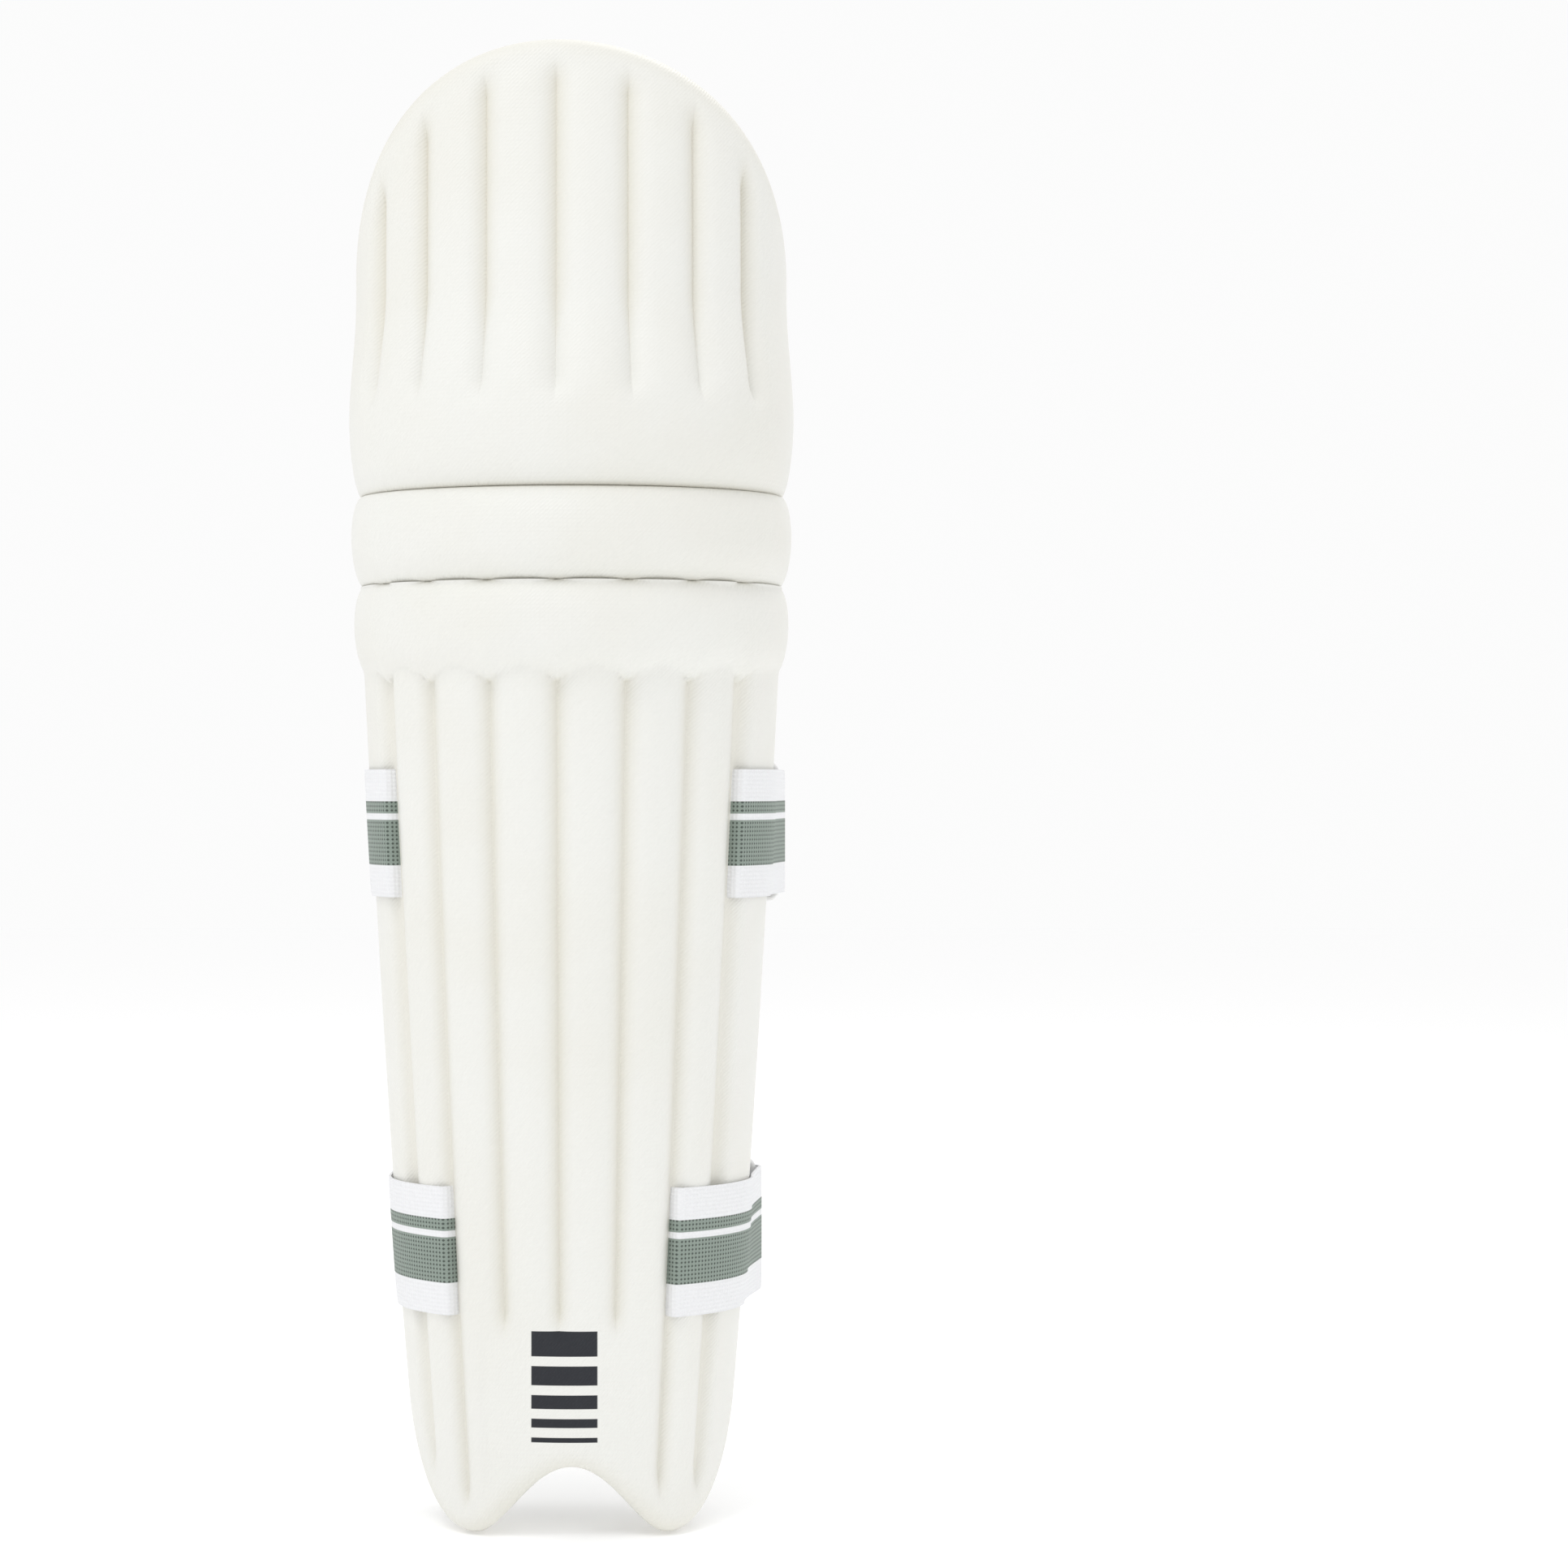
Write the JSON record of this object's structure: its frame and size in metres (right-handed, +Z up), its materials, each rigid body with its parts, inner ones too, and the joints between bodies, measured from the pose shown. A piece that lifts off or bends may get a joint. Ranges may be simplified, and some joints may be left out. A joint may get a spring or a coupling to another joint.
{
  "type": "cricket leg pad",
  "caption": "Batting leg guard: ribbed foam shell in stiff sections with flexing knee rolls, sewn bolsters inside, and webbing straps that close with rings and hook tape.",
  "frame": {"origin": "on the axis of the wearer's leg, level with the crease between the lower and the upper knee roll", "axes": "+Z up along the leg, -Y out of the ribbed front, +Y back through the leg, +X to the right of someone facing the front"},
  "size_m": [0.2269, 0.1464, 0.75],
  "materials": {
    "facing": "satin",
    "foam": "matte",
    "backing": "satin",
    "crease_web": "satin",
    "lining_sheet": "matte",
    "grey_lining": "satin",
    "white_lining": "satin",
    "label": "matte",
    "webbing": "matte",
    "hook_tape": "matte",
    "loop_tape": "matte",
    "ring_plastic": "satin"
  },
  "bodies": {
    "shin": {"shin_facing": "facing", "shin_foam_core": "foam", "shin_backing": "backing", "shin_lining_sheet": "lining_sheet", "shin_bolster_left": "grey_lining", "shin_bolster_middle": "white_lining", "shin_bolster_right": "grey_lining", "lower_crease_web": "crease_web", "calf_strap": "webbing", "calf_strap_fold": "webbing", "calf_loop_tape": "loop_tape", "calf_ring_tab": "webbing", "ankle_strap": "webbing", "ankle_strap_fold": "webbing", "ankle_loop_tape": "loop_tape", "ankle_ring_tab": "webbing"},
    "upper_roll": {"upper_roll_facing": "facing", "upper_roll_foam_core": "foam", "upper_roll_backing": "backing", "upper_crease_web": "crease_web", "knee_bolster_left": "grey_lining", "knee_bolster_middle": "white_lining", "knee_bolster_right": "grey_lining", "size_label": "label"},
    "top": {"top_facing": "facing", "top_foam_core": "foam", "top_backing": "backing", "top_lining_sheet": "lining_sheet", "top_lining_pad": "white_lining"},
    "calf_flap": {"calf_flap": "webbing", "calf_hook_tape": "hook_tape"},
    "ankle_flap": {"ankle_flap": "webbing", "ankle_hook_tape": "hook_tape"},
    "calf_ring": {"calf_ring": "ring_plastic"},
    "ankle_ring": {"ankle_ring": "ring_plastic"}
  },
  "joints": [
    {"name": "lower_crease_flex", "type": "hinge", "parent": "shin", "child": "upper_roll", "pos_m": [0, 0.01, 0], "axis": [1, 0, 0], "range_deg": [-10, 4], "stiffness_Nm_per_rad": 20, "deforming": ["lower_crease_web"]},
    {"name": "upper_crease_flex", "type": "hinge", "parent": "upper_roll", "child": "top", "pos_m": [0, 0.01, 0.0465], "axis": [1, 0, 0], "range_deg": [-10, 4], "stiffness_Nm_per_rad": 20, "deforming": ["upper_crease_web"]},
    {"name": "calf_flap_open", "type": "hinge", "parent": "shin", "child": "calf_flap", "pos_m": [0.08834, 0.05066, -0.1265], "axis": [0, 0, -1], "range_deg": [0, 140], "deforming": ["calf_strap_fold"]},
    {"name": "ankle_flap_open", "type": "hinge", "parent": "shin", "child": "ankle_flap", "pos_m": [0.0755, 0.04426, -0.3365], "axis": [0, 0, -1], "range_deg": [0, 140], "deforming": ["ankle_strap_fold"]},
    {"name": "calf_ring_swivel", "type": "hinge", "parent": "shin", "child": "calf_ring", "pos_m": [0.10884, 0.05066, -0.1265], "axis": [0, 0, 1], "range_deg": [-3, 3]},
    {"name": "ankle_ring_swivel", "type": "hinge", "parent": "shin", "child": "ankle_ring", "pos_m": [0.096, 0.04426, -0.3365], "axis": [0, 0, 1], "range_deg": [-3, 3]}
  ]
}
